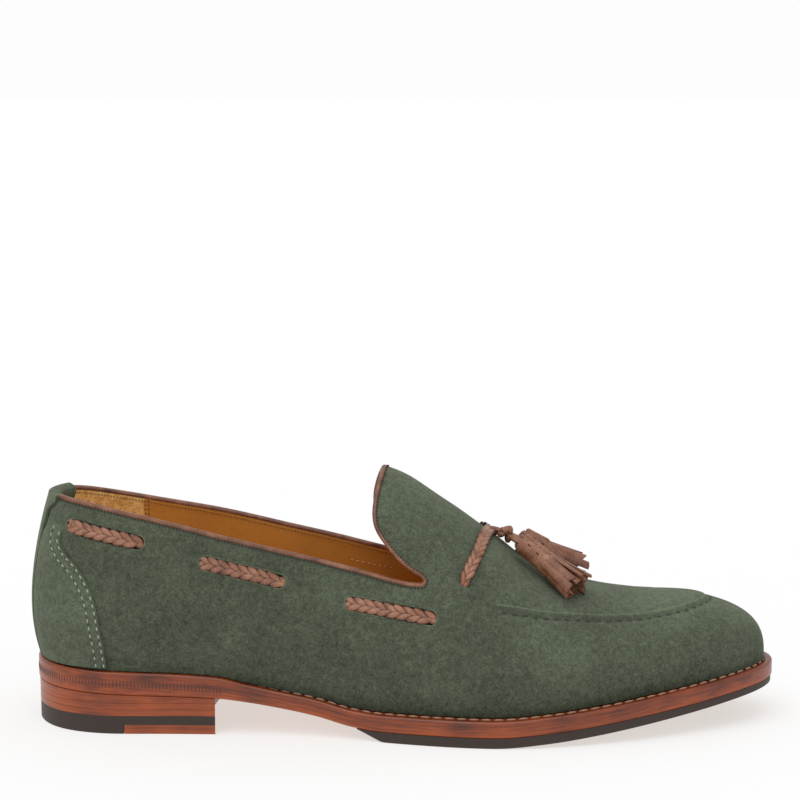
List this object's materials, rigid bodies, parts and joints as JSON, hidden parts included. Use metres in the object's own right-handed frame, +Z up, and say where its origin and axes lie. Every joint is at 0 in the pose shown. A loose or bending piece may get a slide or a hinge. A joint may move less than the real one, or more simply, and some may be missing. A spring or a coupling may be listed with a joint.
{
  "type": "tassel loafer",
  "caption": "Right tassel loafer: hollow nubuck upper with a bound collar, braid, strap and tassels on a welted leather sole with a rubber forepart and a stacked heel.",
  "frame": {"origin": "on the floor under the centre of the heel", "axes": "+X to the toe, +Y to the medial side, +Z up"},
  "size_m": [0.3013, 0.1036, 0.1021],
  "materials": {
    "nubuck": "green nubuck with a short nap",
    "brown_leather": "brown leather, soft sheen",
    "sole_leather": "orange-brown burnished sole leather",
    "lining": "tan leather",
    "rubber": "matt dark brown rubber"
  },
  "bodies": {
    "root": {"backstay": "nubuck", "black_lift": "rubber", "collar_binding": "brown_leather", "collar_braid_lateral_heel": "brown_leather", "collar_braid_lateral_quarter": "brown_leather", "collar_braid_lateral_throat": "brown_leather", "collar_braid_medial_heel": "brown_leather", "collar_braid_medial_quarter": "brown_leather", "collar_braid_medial_throat": "brown_leather", "forepart_rubber": "rubber", "heel_counter_lateral": "nubuck", "heel_counter_medial": "nubuck", "heel_lift_1": "sole_leather", "heel_lift_2": "sole_leather", "heel_lift_3": "sole_leather", "insole": "lining", "outsole": "sole_leather", "tassel_knot": "brown_leather", "tassel_lateral": "brown_leather", "tassel_medial": "brown_leather", "top_piece_leather": "sole_leather", "top_piece_rubber": "rubber", "upper": "nubuck", "vamp_strap": "brown_leather", "welt": "sole_leather"}
  },
  "joints": []
}
